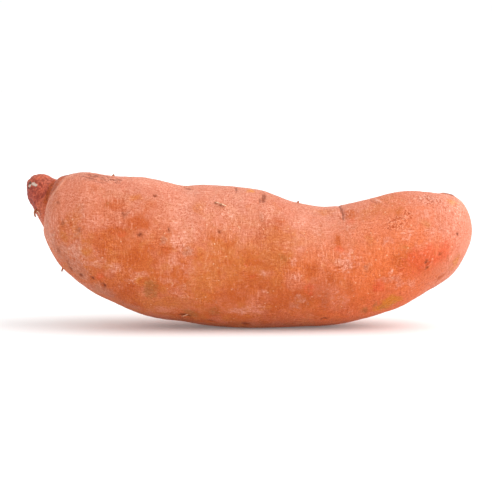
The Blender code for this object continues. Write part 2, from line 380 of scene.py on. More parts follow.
def outline_curves():
    """The root's middle and full half axes, as columns over the angle t with x = centre - half cos t.

    Near an end the ring's half axes shrink with sin t, so they are kept divided by it.
    """
    x, top, low, wide, middle = np.array(OUTLINE).T
    start, end = SHOULDER_END[0], BLUNT_END[0]
    angle = np.arccos(1.0 - 2.0 * (x - start) / (end - start))
    rim = np.sin(angle)
    columns = np.stack((middle, (top + low) / 2.0, wide / rim, (top - low) / 2.0 / rim), axis=1)
    first = np.array((*SHOULDER_END[1:], *columns[0, 2:]))
    last = np.array((*BLUNT_END[1:], *columns[-1, 2:]))
    angles = np.concatenate(((0.0,), angle, (math.pi,)))
    return angles, np.vstack((first, columns, last))


ANGLES, COLUMN_VALUES = outline_curves()


def ring_at(x):
    """Middle y, middle z, full half width and full half height of the root at x."""
    start, end = SHOULDER_END[0], BLUNT_END[0]
    angle = np.arccos(np.clip(1.0 - 2.0 * (x - start) / (end - start), -1.0, 1.0))
    return np.moveaxis(natural_spline(ANGLES, COLUMN_VALUES, angle), -1, 0)


def depth_of_root(points):
    """Distance out of the swollen root, below zero inside it.

    Its surface is where q = sqrt(c² + y² + z²) is 1, with c the share of half the length that the point
    lies from the middle, and y and z its offsets from the ring's middle over the ring's full half axes.
    (q - 1) over the slope of q is the distance, to first order.
    """
    start, end = SHOULDER_END[0], BLUNT_END[0]
    half = (end - start) / 2.0
    x, y, z = np.moveaxis(points, -1, 0)
    middle_y, middle_z, wide, high = ring_at(x)
    along = (x - (start + end) / 2.0) / half
    side = (y - middle_y) / wide
    up = (z - middle_z) / high
    q = np.sqrt(along * along + side * side + up * up) + 1e-9
    slope = np.sqrt((along / half) ** 2 + (side / wide) ** 2 + (up / high) ** 2) / q + 1e-9
    return (q - 1.0) / slope


def neck_frame(points):
    """Distance of each point down the neck's axis from its tip, and its distance off that axis."""
    offset = points - NECK_TIP
    down = offset @ NECK_AXIS
    return down, np.linalg.norm(offset - down[..., None] * NECK_AXIS, axis=-1)


def depth_of_neck(points):
    """Distance out of the stem neck, closed at its foot.

    The neck is where off² = 2 b down, with b its bend at the tip. The slope of off² - 2 b down is
    2 sqrt(off² + b²), and the one over the other is the distance, to first order. On the far side the neck
    thins towards its foot, so that it sinks into the root.
    """
    down, off = neck_frame(points)
    side = (off * off - 2.0 * NECK_BEND * down) / (2.0 * np.sqrt(off * off + NECK_BEND**2))
    side += NECK_THINNING * ease(14.0, NECK_DEPTH, down) * ease(6.0, 15.0, points[..., 1])
    return np.maximum(side, down - NECK_DEPTH)


def soft_least(a, b, reach):
    """The lesser of a and b, with the corner between them filled over a reach."""
    share = np.clip(0.5 + 0.5 * (b - a) / reach, 0.0, 1.0)
    return b + (a - b) * share - reach * share * (1.0 - share)


def depth_of_flesh(points):
    """Distance out of the whole thing: root and neck grown together, cut soft by the ground at z = 0.

    A fold parts the two low on the near side. Over the top and on the far side they run together.
    """
    _, y, z = np.moveaxis(points, -1, 0)
    fillet = NEAR_FILLET + FAR_FILLET * ease(6.0, 20.0, y) + TOP_FILLET * ease(50.0, 60.0, z)
    whole = soft_least(depth_of_root(points), depth_of_neck(points), fillet)
    return -soft_least(-whole, z, GROUND_FILLET)


def leaving(depth, start, direction):
    """Where each ray leaves a solid, found by halving the stretch of ray that still holds its surface."""
    near = np.zeros(start.shape[:-1])
    far = np.full(near.shape, RAY_LENGTH)
    for _ in range(HALVINGS):
        middle = (near + far) / 2.0
        inside = depth(start + middle[..., None] * direction) < 0.0
        near = np.where(inside, middle, near)
        far = np.where(inside, far, middle)
    return start + near[..., None] * direction


def ray_fan(path, turn):
    """Starts and directions of the rays that the grid is cast along.

    From path 0 to 1 they fan out round the neck's heart, from its pole to square across it. From 1 to 2 the
    heart slides along the root's middle while the fan stays square across, and from 2 to 3 the fan closes
    on the blunt end. A direction is -cos(a) n + sin(a) (cos(turn) u + sin(turn) n x u).
    """
    slide = np.clip(path - 1.0, 0.0, 1.0)
    opening = (np.clip(path, 0.0, 1.0) + np.clip(path - 2.0, 0.0, 1.0)) * math.pi / 2.0
    x = NECK_HEART[0] + slide * (BLUNT_HEART_X - NECK_HEART[0])
    middle = np.stack((x, *ring_at(x)[:2]), axis=-1)
    neck_middle = np.array((NECK_HEART[0], *ring_at(NECK_HEART[:1])[:2, 0]))
    heart = middle + (1.0 - ease(0.0, 0.2, slide))[..., None] * (NECK_HEART - neck_middle)
    straight = np.array((1.0, 0.0, 0.0))
    starting = ease(0.0, 0.25, slide)[..., None]
    ending = ease(0.75, 1.0, slide)[..., None]
    normal = unit(-NECK_POLE * (1.0 - starting) + straight * starting)
    normal = unit(normal * (1.0 - ending) + BLUNT_POLE * ending)
    up = np.array((0.0, 0.0, 1.0))
    up = unit(up - normal * normal[..., 2:])
    near = np.cross(normal, up)
    spoke = np.cos(turn)[..., None] * up + np.sin(turn)[..., None] * near
    return heart, np.sin(opening)[..., None] * spoke - np.cos(opening)[..., None] * normal


def even_path():
    """Row positions along the path whose rings stand evenly apart, and closer over the neck."""
    path = np.linspace(0.0, 3.0, 241)
    turn = np.linspace(0.0, 2.0 * math.pi, 24, endpoint=False)
    grid = leaving(depth_of_flesh, *ray_fan(*np.meshgrid(path, turn, indexing="ij")))
    steps = np.linalg.norm(np.diff(grid, axis=0), axis=-1).mean(axis=1)
    steps *= 1.0 + NECK_CROWDING * ease(1.35, 0.9, path[1:])
    length = np.concatenate(((0.0,), np.cumsum(steps)))
    return np.interp(np.linspace(0.0, length[-1], ROWS + 1), length, path)


def lattice_noise(points, cell, seed, stretch=(1.0, 1.0, 1.0)):
    """Smooth noise from about -1 to 1 with bumps about one cell wide.

    Space is cut into cells and each corner has a random direction g. A point's value is the sum over its
    cell's corners of g dot (point - corner), each times its share 6 s^5 - 15 s^4 + 10 s^3 along every axis.
    """
    table = unit(np.random.default_rng(seed).normal(size=(1024, 3)))
    cells = points / (cell * np.array(stretch))
    low = np.floor(cells).astype(int)
    rest = cells - low
    share = rest**3 * (rest * (rest * 6.0 - 15.0) + 10.0)
    total = np.zeros(points.shape[:-1])
    for corner in product((0, 1), repeat=3):
        at = low + corner
        pick = (at[..., 0] * 73856093) ^ (at[..., 1] * 19349663) ^ (at[..., 2] * 83492791)
        lean = np.sum(table[pick % 1024] * (rest - corner), axis=-1)
        total += lean * np.prod(np.where(corner, share, 1.0 - share), axis=-1)
    return total * 1.5


def seat(x, turn):
    """Points of the root's surface at places along it and turns round it, with their three axes.

    Each point lies where a ray from the ring's middle leaves the root, in the plane of x. The axes are the
    direction along, the direction round towards greater turn, and the outward normal.
    """
    x = np.asarray(x, float)
    angle = np.radians(np.asarray(turn, float))
    middle = np.stack((x, *ring_at(x)[:2]), axis=-1)
    out = np.stack((np.zeros(x.shape), -np.sin(angle), np.cos(angle)), axis=-1)
    point = leaving(depth_of_root, middle, out)
    step = 0.05 * np.eye(3)
    slope = [depth_of_root(point + shift) - depth_of_root(point - shift) for shift in step]
    normal = unit(np.stack(slope, axis=-1))
    along = unit(np.array((1.0, 0.0, 0.0)) - normal * normal[..., :1])
    return point, along, np.cross(normal, along), normal


def blot(points, centre, axes, length, width):
    """1 in the middle of an oval patch of skin and 0 away from it.

    With u and v the offsets along and round over the half length and half width, and w the offset off the
    skin over twice their sum, it is exp(-(u² + v² + w²)).
    """
    along, around, normal = axes
    offset = points - centre
    u = offset @ along / length
    v = offset @ around / width
    w = offset @ normal / (2.0 * (length + width))
    return np.exp(-(u * u + v * v + w * w))


def spot(points, centre, radius):
    """exp(-(distance / radius)²) round a point."""
    offset = points - np.array(centre)
    return np.exp(-np.sum(offset * offset, axis=-1) / radius**2)


def near_path(points, path):
    """Distance of each point from a broken line, and its share of the way along it."""
    best = np.full(points.shape[:-1], np.inf)
    share = np.zeros(points.shape[:-1])
    count = len(path) - 1
    for k in range(count):
        leg = path[k + 1] - path[k]
        s = np.clip((points - path[k]) @ leg / (leg @ leg), 0.0, 1.0)
        away = np.linalg.norm(points - path[k] - s[..., None] * leg, axis=-1)
        closer = away < best
        share = np.where(closer, (k + s) / count, share)
        best = np.where(closer, away, best)
    return best, share


def skin_path(knots, count=9):
    """Points of the skin along a smooth line through knots of x and turn."""
    knots = np.array(knots, float)
    where = np.linspace(0.0, len(knots) - 1.0, count)
    x, turn = natural_spline(np.arange(len(knots)), knots, where).T
    return seat(x, turn)[0]


def wandering(points, reach, cell, seed):
    """The points, each shifted by smooth noise so that patches laid on them get uneven outlines."""
    shift = [lattice_noise(points, cell, seed + k) for k in range(3)]
    return points + reach * np.stack(shift, axis=-1)


def scattered(rng, count, ranges):
    """Rows of random numbers, each column drawn evenly from its own range."""
    return np.stack([rng.uniform(low, high, count) for low, high in ranges], axis=1)


def colour_layers(points):
    """Every blot layer's strength at the points: 1 - the product of (1 - strength) over its blots."""
    loose = wandering(wandering(points, 1.5, 4.5, 40), 0.6, 1.7, 44)
    rng = np.random.default_rng(11)
    layers = {}
    for title, blots in BLOTS.items():
        table = np.vstack((blots, scattered(rng, FAR_BLOTS[title], FAR_BLOT_RANGES)))
        x, turn, length, width, strength = table.T
        centres, *axes = seat(x, turn)
        left = np.ones(points.shape[:-1])
        for k in range(len(table)):
            patch = blot(loose, centres[k], [axis[k] for axis in axes], length[k], width[k])
            left *= 1.0 - strength[k] * patch
        layers[title] = 1.0 - left
    return layers


def neck_share(points):
    """The neck's share of the surface, the fold beside it, which gets painted shade, and its lead over the
    root.

    The lead is how much farther out of the root than out of the neck a point lies. The share goes from 0 to
    1 within half a millimetre of no lead on the near side and within five on the far side, where the two
    run together, and it fades out down the neck. The fold is the strip of small lead, high on the near side.
    """
    down, _ = neck_frame(points)
    lead = depth_of_root(points) - depth_of_neck(points)
    far = ease(1.0, 10.0, points[..., 1])
    reach = 0.5 + 4.5 * far
    share = ease(-reach, reach, lead) * ease(26.0 - 8.0 * far, 12.0 - 6.0 * far, down)
    # The fold strip carries painted shade between the neck and the shoulder.
    fold = ease(-3.0, -1.0, lead) * ease(5.5, 3.0, lead) * (1.0 - far) * ease(49.0, 56.0, points[..., 2])
    return share, fold, lead


def beside_lip(points):
    """Distance of each point from the lip, and the share of the worn saddle between the lip and the neck.

    The saddle is where a point lies nearer to the neck's axis than the nearest place of the lip does. It
    fades out raggedly towards the far side, along the root and down the near side.
    """
    x, y, z = np.moveaxis(wandering(points, 2.5, 4.0, 90), -1, 0)
    lip = skin_path(LIP, 25)
    away, share = near_path(points, lip)
    reach = np.interp(share, np.linspace(0.0, 1.0, len(lip)), neck_frame(lip)[1])
    inside = ease(0.0, 2.5, reach - neck_frame(points)[1])
    return away, inside * ease(8.0, -1.0, y) * ease(47.0, 63.0, z) * ease(-73.5, -79.5, x)


def pits(points):
    """Bowls with low rims, and how dark each is."""
    table = np.vstack((PITS, scattered(np.random.default_rng(23), FAR_PITS, FAR_PIT_RANGES)))
    x, turn, length, width, depth, strength = table.T
    centres, *axes = seat(x, turn)
    loose = wandering(points, 0.7, 1.4, 60)
    height = np.zeros(points.shape[:-1])
    pit = np.zeros(points.shape[:-1])
    for k in range(len(table)):
        frame_axes = [axis[k] for axis in axes]
        bowl = blot(loose, centres[k], frame_axes, length[k], width[k])
        rim = blot(loose, centres[k], frame_axes, 2.0 * length[k], 2.0 * width[k])
        height += depth[k] * (0.45 * rim - 1.45 * bowl)
        pit = np.maximum(pit, strength[k] * (0.75 * bowl + 0.25 * rim))
    return height, pit


def creases(points):
    """Grooves and ridges along the crease paths, tapered at their ends, and how dark or light each is."""
    loose = wandering(points, 0.5, 2.0, 70)
    height = np.zeros(points.shape[:-1])
    dark = np.zeros(points.shape[:-1])
    light = np.zeros(points.shape[:-1])
    for knots, width, depth, strength in CREASES:
        away, share = near_path(loose, skin_path(knots))
        taper = ease(-0.05, 0.3, share) * ease(1.05, 0.7, share)
        groove = np.exp(-((away / (width * (0.4 + 0.6 * taper))) ** 2)) * taper
        height -= depth * groove
        dark = np.maximum(dark, strength * groove)
        light = np.maximum(light, -strength * groove)
    return height, dark, light


def relief(points, layers, settings):
    """How far the skin stands off the bare surface. The marks that go with it join the layers.

    It is the sum of the swells, the lumps, the pits and creases, crinkles in the crackled patches, the lip,
    and what neck_relief gives.
    """
    height = np.zeros(points.shape[:-1])
    for seed, (cell, rise, stretch) in enumerate(SWELLS, 1):
        height += settings.swell * rise * lattice_noise(points, cell, seed, stretch)
    for centre, radius, rise in LUMPS:
        height += rise * spot(points, centre, radius)
    bowls, pit = pits(points)
    grooves, dark, light = creases(points)
    crinkle = lattice_noise(points, 1.6, 8, (2.2, 1.0, 1.0)) * layers["crackle"]
    height += settings.pit_depth * bowls + settings.crease_depth * grooves + 0.15 * crinkle
    away, saddle = beside_lip(points)
    onto, fold, lead = neck_share(points)
    lip = np.exp(-((away * MM / settings.lip_width) ** 2)) * (1.0 - onto)
    layers.update(pit=pit, dark=dark, light=np.maximum(light, lip))
    layers.update(neck=onto, fold=fold, lead=lead, saddle=saddle * (1.0 - onto))
    return height + settings.lip_height / MM * lip + neck_relief(points, layers)


def neck_relief(points, layers):
    """Relief of the neck and the saddle. The marks of the neck's tip join the layers.

    The neck is furrowed along its axis and ringed across it every 2.6 mm, with a raised chip and sunken
    spots at its tip. The saddle has only the streaks of the furrows.
    """
    onto = layers["neck"]
    down, _ = neck_frame(points)
    rings = np.sin(2.0 * math.pi * (down + 2.5 * lattice_noise(points, 3.5, 6)) / 2.6)
    drawn = points - 0.85 * (points @ NECK_AXIS)[..., None] * NECK_AXIS
    streak = lattice_noise(drawn, 1.5, 9) + 0.6 * lattice_noise(drawn, 0.8, 10)
    furrows = 0.2 * streak + 0.3 * lattice_noise(points, 2.6, 7) + 0.08 * rings
    loose = wandering(points, 0.5, 1.2, 80)
    chip = np.max([spot(loose, *mark) for mark in CHIP], axis=0)
    stain = np.max([spot(loose, *mark) for mark in TIP_SPOTS], axis=0)
    heading = np.arctan2(points[..., 1] - NECK_TIP[1], points[..., 2] - NECK_FOOT[2])
    layers.update(chip=chip * onto, stain=stain * onto, down=down, turned=heading)
    return 0.12 * streak * layers["saddle"] * (1.0 - onto) + onto * (furrows - 0.4 * stain + 0.3 * chip)


def column_turns():
    """Turns of the grid's columns, which crowd on the near side.

    Evenly spaced values are matched by turn + c sin(turn - n), with c the crowding and n the near turn.
    """
    near = math.radians(NEAR_TURN)
    start = math.radians(SEAM_TURN)
    turn = start + np.linspace(0.0, 2.0 * math.pi, 721)
    spread = turn + NEAR_CROWDING * np.sin(turn - near)
    return np.interp(np.linspace(spread[0], spread[-1], COLUMNS + 1)[:-1], spread, turn)


def grown_skin(settings):
    """The skin's grid of points and its layers: the bare surface moved out along its normals by the relief.

    The relief fades out within 1.5 mm of the ground, so that the belly stays flat on it.
    """
    path, turns = np.meshgrid(even_path(), column_turns(), indexing="ij")
    bare = leaving(depth_of_flesh, *ray_fan(path, turns))
    layers = colour_layers(bare)
    height = relief(bare, layers, settings) * ease(0.0, 1.5, bare[..., 2])
    normals = grid_normals(bare)
    layers["up"] = normals[..., 2]
    skin = bare + height[..., None] * normals
    skin[0] = skin[0].mean(axis=0)
    skin[-1] = skin[-1].mean(axis=0)
    skin[..., 2] = np.maximum(skin[..., 2], 0.0)
    return skin, layers


def grid_normals(grid):
    """Outward normals: across a column's neighbours, times along a row's neighbours."""
    along = np.gradient(grid, axis=0)
    around = np.roll(grid, -1, axis=1) - np.roll(grid, 1, axis=1)
    normals = np.cross(around, along)
    normals[0] = NECK_POLE
    normals[-1] = BLUNT_POLE
    return unit(normals)


def flat_grid(grid):
    """A grid's points in one list, with each of its two poles once."""
    return np.concatenate((grid[:1, 0], grid[1:-1].reshape(-1, *grid.shape[2:]), grid[-1:, 0]))


def grid_faces(rows, columns):
    """Faces over the flat list of a grid's points: four-sided ones, and a fan round each pole."""
    last = 1 + (rows - 1) * columns
    ring = np.arange(1, last).reshape(rows - 1, columns)
    beside = np.roll(ring, -1, axis=1)
    quads = np.stack((ring[:-1], beside[:-1], beside[1:], ring[1:]), axis=-1).reshape(-1, 4)
    top = np.stack((np.zeros(columns, int), beside[0], ring[0]), axis=-1)
    end = np.stack((np.full(columns, last), ring[-1], beside[-1]), axis=-1)
    return quads, np.concatenate((top, end))


def grid_map(rows, columns):
    """Map places of every face corner: rows along u and columns along v, so the map fills its square."""
    u = np.arange(rows + 1) / rows
    v = np.arange(columns + 1) / columns
    i, j = np.meshgrid(np.arange(1, rows - 1), np.arange(columns), indexing="ij")
    corners = ((i, j), (i, j + 1), (i + 1, j + 1), (i + 1, j))
    quads = np.stack([np.stack((u[a], v[b]), axis=-1) for a, b in corners], axis=2).reshape(-1, 2)
    half = (v[:-1] + v[1:]) / 2.0
    level = np.ones(columns)
    top = ((0.0 * level, half), (u[1] * level, v[1:]), (u[1] * level, v[:-1]))
    end = ((level, half), (u[-2] * level, v[:-1]), (u[-2] * level, v[1:]))
    fans = [np.moveaxis(np.array(fan), 2, 0).reshape(-1, 2) for fan in (top, end)]
    return np.vstack((quads, *fans))


def closed_mesh(name, points, faces, layers):
    """A smooth mesh from points in millimetres and lists of faces, with values stored on its points."""
    mesh = bpy.data.meshes.new(name)
    mesh.from_pydata((points * MM).tolist(), [], [face for part in faces for face in part.tolist()])
    mesh.shade_smooth()
    for title, values in layers.items():
        attribute = mesh.attributes.new(title, "FLOAT", "POINT")
        attribute.data.foreach_set("value", values.astype(np.float32))
    return mesh


def skin_mesh(settings):
    """The skin as a mesh, with its layers and a map of its own called OFBake."""
    grid, layers = grown_skin(settings)
    rows, columns = grid.shape[0] - 1, grid.shape[1]
    flat = {title: flat_grid(values) for title, values in layers.items()}
    mesh = closed_mesh("skin", flat_grid(grid), grid_faces(rows, columns), flat)
    layer = mesh.uv_layers.new(name="OFBake")
    layer.data.foreach_set("uv", grid_map(rows, columns).astype(np.float32).ravel())
    return mesh


def fibre_grid(knots, radius, wander):
    """A rootlet as a closed tube of shrinking rings along a smooth line through its knots.

    With s the share of the way, the radius is r (1 - 0.65 s) sqrt(1 - (2 s - 1)^12), times 1 + wander.
    """
    knots = np.array(knots, float)
    where = np.linspace(0.0, len(knots) - 1.0, FIBRE_RINGS)
    middle = natural_spline(np.arange(len(knots)), knots, where)
    heading = unit(np.gradient(middle, axis=0))
    side = unit(np.cross(heading, (0.3, 0.2, 0.93)))
    share = where / where[-1]
    width = radius * (1.0 - 0.65 * share) * np.sqrt(1.0 - (2.0 * share - 1.0) ** 12)
    angle = np.linspace(0.0, 2.0 * math.pi, FIBRE_SIDES, endpoint=False)
    across = np.cross(heading, side)
    spoke = np.cos(angle)[:, None] * side[:, None] + np.sin(angle)[:, None] * across[:, None]
    return middle[:, None] + (width[:, None] * (1.0 + wander))[..., None] * spoke, share


def stub_knots(rng):
    """Knots of one broken rootlet: out of a random place on the far side, then bent over along the skin."""
    x = rng.uniform(-80.0, 86.0, 1)
    turn = rng.uniform(195.0, 345.0, 1)
    point, along, around, normal = (part[0] for part in seat(x, turn))
    length = rng.uniform(1.2, 4.0)
    lean = rng.normal(size=2) @ np.stack((along, around))
    knots = [point + length * (rise * normal + slide * lean) for rise, slide in STUB_BENDS]
    return np.maximum(knots, (-np.inf, -np.inf, STUB_CLEARANCE))


def rootlet_mesh(settings):
    """All fibres and broken rootlets as one mesh of closed tubes, paler towards their tips."""
    rng = np.random.default_rng(5)
    stubs = [(stub_knots(rng), rng.uniform(0.25, 0.45), rng.uniform()) for _ in range(settings.stubs)]
    points, faces, share = [], [], []
    quads, fans = grid_faces(FIBRE_RINGS - 1, FIBRE_SIDES)
    for knots, radius, paleness in (*FIBRES, *stubs):
        radius *= settings.thickness
        grid, along = fibre_grid(knots, radius, 0.18 * rng.normal(size=(FIBRE_RINGS, FIBRE_SIDES)))
        grid[0] = grid[0].mean(axis=0)
        grid[-1] = grid[-1].mean(axis=0)
        start = len(points) * ((FIBRE_RINGS - 2) * FIBRE_SIDES + 2)
        points.append(flat_grid(grid))
        faces += [quads + start, fans + start]
        share.append(flat_grid(np.repeat(paleness * (0.4 + 0.6 * along[:, None]), FIBRE_SIDES, axis=1)))
    return closed_mesh("rootlets", np.vstack(points), faces, {"paleness": np.concatenate(share)})


def place(mesh, material):
    """Put the mesh into the scene at the origin, in its material."""
    item = bpy.data.objects.new(mesh.name, mesh)
    bpy.context.scene.collection.objects.link(item)
    item.data.materials.append(material)
    return item


class Wire:
    """One output of a shader node, which plain arithmetic carries on into Math nodes."""

    def __init__(self, finish, socket):
        self.finish = finish
        self.socket = socket

    def math(self, operation, *terms):
        """A Math node of this operation on the terms, in their order."""
        return self.finish.node("Math", {"operation": operation}, dict(enumerate(terms)))

    def __add__(self, other):
        return self.math("ADD", self, other)

    def __radd__(self, other):
        return self.math("ADD", other, self)

    def __sub__(self, other):
        return self.math("SUBTRACT", self, other)

    def __rsub__(self, other):
        return self.math("SUBTRACT", other, self)

    def __mul__(self, other):
        return self.math("MULTIPLY", self, other)

    def __rmul__(self, other):
        return self.math("MULTIPLY", other, self)

    def greater(self, other):
        return self.math("MAXIMUM", self, other)

    def size(self):
        return self.math("ABSOLUTE", self)


class Finish:
    """A material under construction."""

    def __init__(self, name):
        self.material = bpy.data.materials.new(name)
        self.material.use_nodes = True
        self.tree = self.material.node_tree
        self.shader = self.tree.nodes["Principled BSDF"]
        self.place = self.stretched(self.node("TexCoord", output="Object"), (1.0 / MM,) * 3)

    def node(self, kind, settings=None, sockets=None, output=0):
        """Add a node of this type, with its settings and then its sockets' values or links."""
        made = self.tree.nodes.new("ShaderNode" + kind)
        for title, value in (settings or {}).items():
            setattr(made, title, value)
        for title, value in (sockets or {}).items():
            self.feed(made.inputs[title], value)
        return Wire(self, made.outputs[output])

    def feed(self, socket, value):
        """Link a wire to the socket or set the socket's value, which is opaque if it is a colour."""
        if isinstance(value, Wire):
            self.tree.links.new(value.socket, socket)
        elif socket.type == "RGBA":
            socket.default_value = (*value, 1.0)
        else:
            socket.default_value = value

    def stretched(self, vector, factors):
        """The vector, or the colour, with each part times its own factor."""
        return self.node("VectorMath", {"operation": "MULTIPLY"}, {0: vector, 1: factors})

    def shifted(self, vector, offsets):
        """The vector with its own offset added to each part."""
        return self.node("VectorMath", {"operation": "ADD"}, {0: vector, 1: offsets})

    def layer(self, title):
        """A layer of values stored on the mesh."""
        return self.node("Attribute", {"attribute_name": title}, output="Fac")

    def noise(self, size, detail=2.0, stretch=(1.0, 1.0, 1.0), roughness=0.5, shift=0.0, wobble=0.0):
        """Noise from 0 to 1 with bumps of a size in millimetres, drawn out by the stretch."""
        vector = self.stretched(self.place, tuple(1.0 / (size * part) for part in stretch))
        if shift:
            vector = self.shifted(vector, (shift,) * 3)
        sockets = {"Scale": 1.0, "Detail": detail, "Roughness": roughness, "Distortion": wobble}
        return self.node("TexNoise", {}, {"Vector": vector, **sockets})

    def specks(self, spacing, reach):
        """1 inside small dots scattered a spacing in millimetres apart, each a share of the spacing wide."""
        sockets = {"Vector": self.place, "Scale": 1.0 / spacing}
        distance = self.node("TexVoronoi", {"feature": "F1"}, sockets)
        return self.step(reach, 0.4 * reach, distance)

    def step(self, low, high, value):
        """0 below low and 1 above high, with a smooth step between them. Low may be the higher one."""
        sockets = {"Value": value, "From Min": low, "From Max": high}
        return self.node("MapRange", {"interpolation_type": "SMOOTHSTEP"}, sockets)

    def blend(self, share, below, above):
        """The colour below with a share of the colour above laid over it."""
        sockets = {0: share, 6: below, 7: above}
        return self.node("Mix", {"data_type": "RGBA"}, sockets, output=2)

    def coats(self, tint, *coats):
        """The tint with coats laid over it in turn, each a share and a colour."""
        for share, colour in coats:
            tint = self.blend(share, tint, colour)
        return tint

    def faded(self, tint, swing):
        """The colour times 1 + swing (0.55, 1.0, 1.35), so paler and greyer above 0 and redder below."""
        return self.stretched(tint, self.shifted(self.stretched(swing, (0.55, 1.0, 1.35)), (1.0, 1.0, 1.0)))

    def bump(self, height, strength, distance):
        """Normals of a relief too fine to model, whose height of 1 stands for a distance in millimetres."""
        sockets = {"Height": height, "Strength": strength, "Distance": distance * MM}
        return self.node("Bump", {}, sockets)

    def finish(self, sockets):
        """Feed the shader's sockets, and give the material that is then done."""
        for title, value in sockets.items():
            self.feed(self.shader.inputs[title], value)
        return self.material


